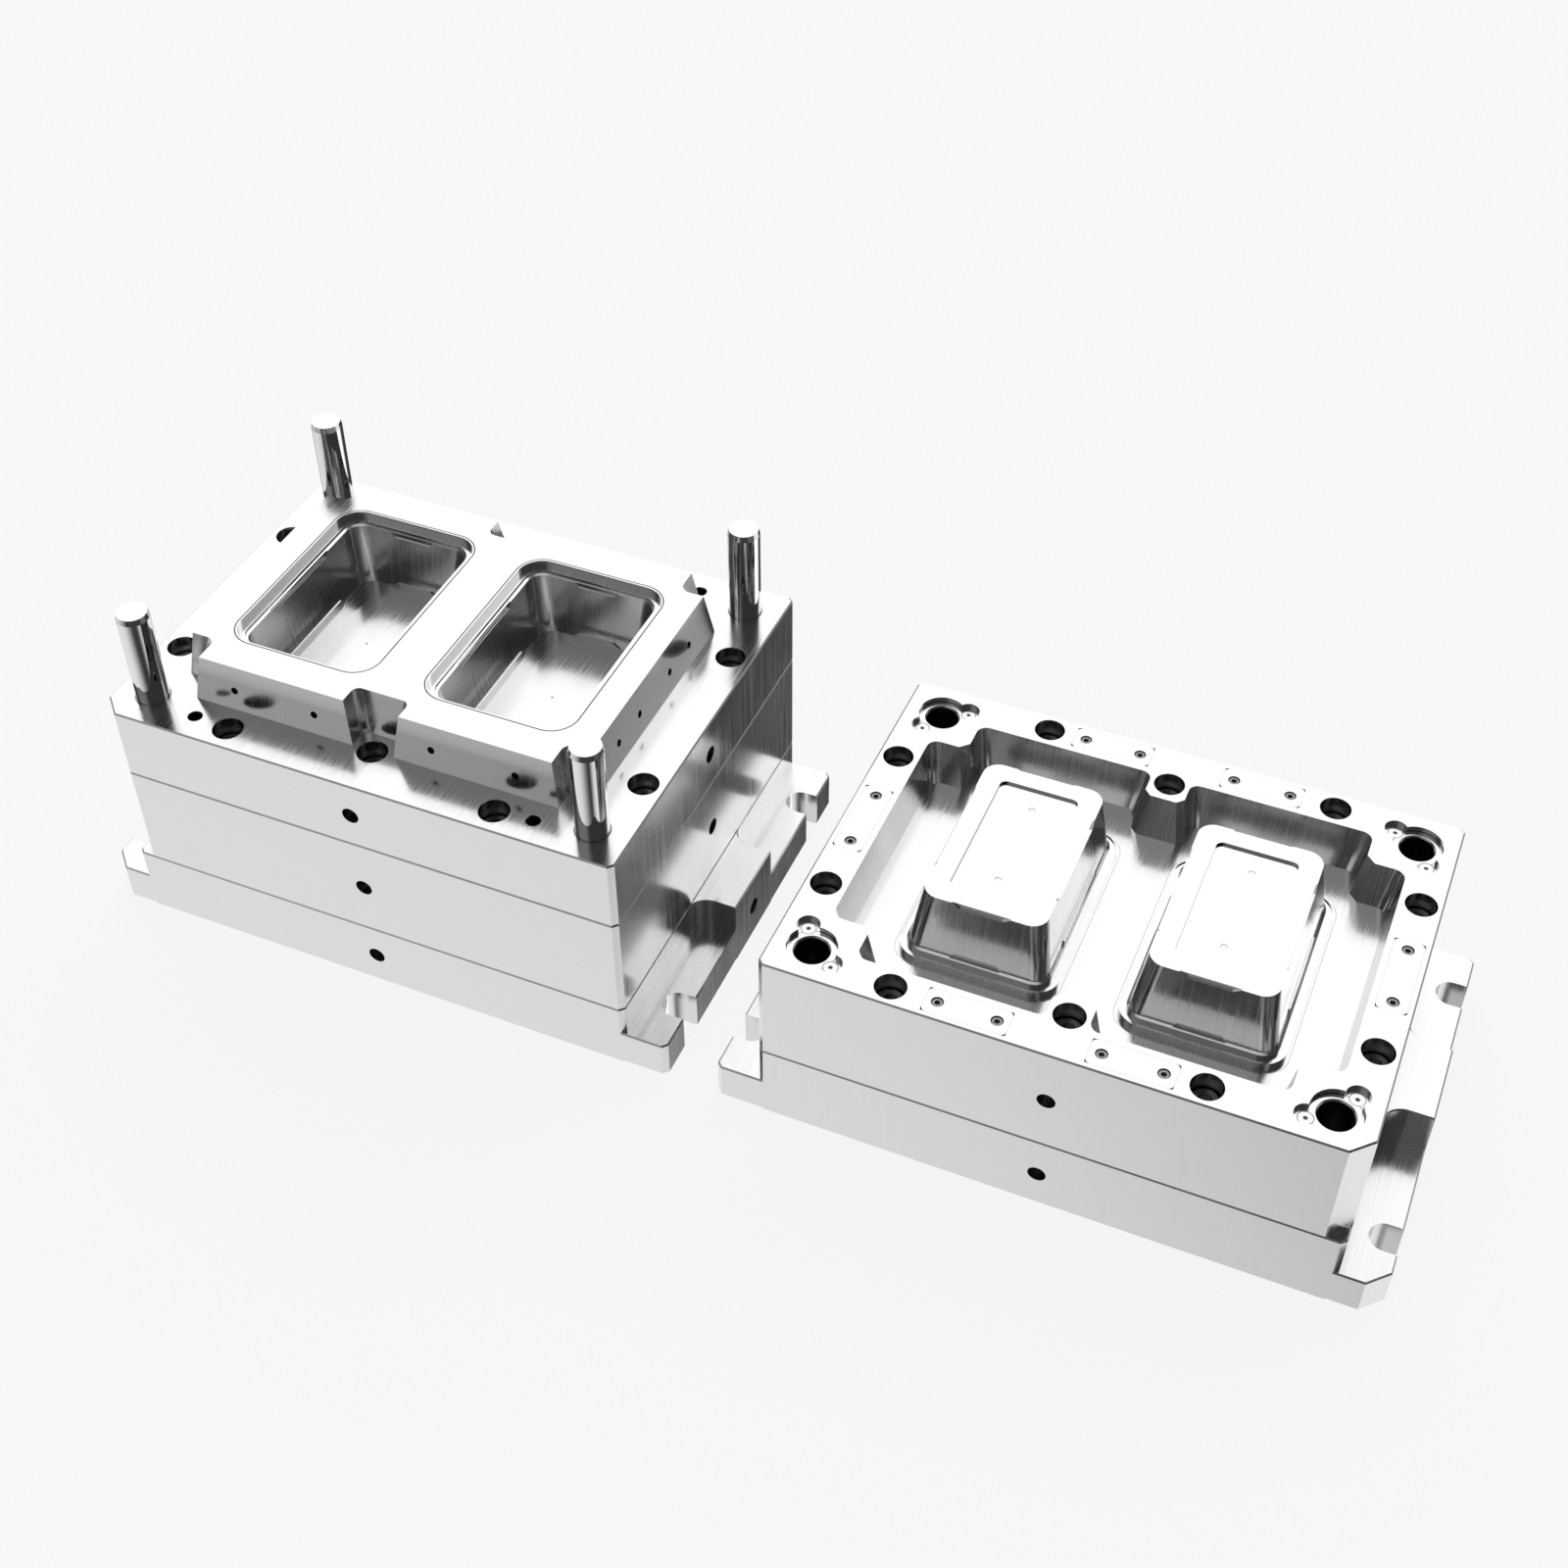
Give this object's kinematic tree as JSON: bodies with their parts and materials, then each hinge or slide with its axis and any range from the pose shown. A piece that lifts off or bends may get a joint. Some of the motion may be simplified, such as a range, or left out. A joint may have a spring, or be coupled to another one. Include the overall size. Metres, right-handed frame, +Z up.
{
  "type": "container mould",
  "caption": "Injection mould for rectangular containers: cavity half with guide pins and raised block, and core half with interlock pocket and air poppets, standing apart.",
  "frame": {"origin": "middle of the whole footprint, on the surface that both halves stand on", "axes": "+X along the row of the two halves, cavity half at -X and core half at +X; +Z up, the way both mould faces look; -Y is the front"},
  "size_m": [1.326, 0.417, 0.3715],
  "materials": {
    "plate_steel": "fine ground",
    "cavity_steel": "fine ground, polished in the cavities",
    "core_plate_steel": "fine ground",
    "core_steel": "draw polished",
    "pin_steel": "mirror polished",
    "bush_steel": "ground",
    "pad_steel": "ground",
    "bolt_steel": "blackened",
    "runner_steel": "machined",
    "poppet_steel": "ground"
  },
  "bodies": {
    "mould": {"cavity_clamp_plate": "plate_steel", "hot_runner_plate": "plate_steel", "core_clamp_plate": "plate_steel", "cavity_plate": "cavity_steel", "core_plate": "core_plate_steel", "left_core": "core_steel", "right_core": "core_steel", "guide_pin_1": "pin_steel", "guide_pin_2": "pin_steel", "guide_pin_3": "pin_steel", "guide_pin_4": "pin_steel", "guide_bush_1": "bush_steel", "guide_bush_2": "bush_steel", "guide_bush_3": "bush_steel", "guide_bush_4": "bush_steel", "wear_pad_1": "pad_steel", "wear_pad_2": "pad_steel", "wear_pad_3": "pad_steel", "wear_pad_4": "pad_steel", "wear_pad_5": "pad_steel", "wear_pad_6": "pad_steel", "cavity_plate_bolts": "bolt_steel", "core_plate_bolts": "bolt_steel", "cavity_clamp_bolts": "bolt_steel", "wear_pad_screws": "bolt_steel", "core_fixing_bolts": "bolt_steel", "bush_screws": "bolt_steel", "hot_runner_manifold": "runner_steel", "manifold_support_discs": "runner_steel", "left_nozzle": "runner_steel", "right_nozzle": "runner_steel", "inlet_bush": "runner_steel", "locating_ring": "runner_steel", "poppet_spring_1": "poppet_steel", "poppet_spring_2": "poppet_steel", "poppet_spring_3": "poppet_steel", "poppet_spring_4": "poppet_steel"},
    "poppet_valve_1": {"air_poppet_1": "poppet_steel", "poppet_nut_1": "poppet_steel"},
    "poppet_valve_2": {"air_poppet_2": "poppet_steel", "poppet_nut_2": "poppet_steel"},
    "poppet_valve_3": {"air_poppet_3": "poppet_steel", "poppet_nut_3": "poppet_steel"},
    "poppet_valve_4": {"air_poppet_4": "poppet_steel", "poppet_nut_4": "poppet_steel"}
  },
  "joints": [
    {"name": "poppet_1_lift", "type": "slide", "parent": "mould", "child": "poppet_valve_1", "axis": [0, 0, 1], "range_m": [0, 0.0015], "stiffness_N_per_m": 600, "springref_m": -0.002, "deforming": ["poppet_spring_1"]},
    {"name": "poppet_2_lift", "type": "slide", "parent": "mould", "child": "poppet_valve_2", "axis": [0, 0, 1], "range_m": [0, 0.0015], "stiffness_N_per_m": 600, "springref_m": -0.002, "deforming": ["poppet_spring_2"]},
    {"name": "poppet_3_lift", "type": "slide", "parent": "mould", "child": "poppet_valve_3", "axis": [0, 0, 1], "range_m": [0, 0.0015], "stiffness_N_per_m": 600, "springref_m": -0.002, "deforming": ["poppet_spring_3"]},
    {"name": "poppet_4_lift", "type": "slide", "parent": "mould", "child": "poppet_valve_4", "axis": [0, 0, 1], "range_m": [0, 0.0015], "stiffness_N_per_m": 600, "springref_m": -0.002, "deforming": ["poppet_spring_4"]}
  ]
}
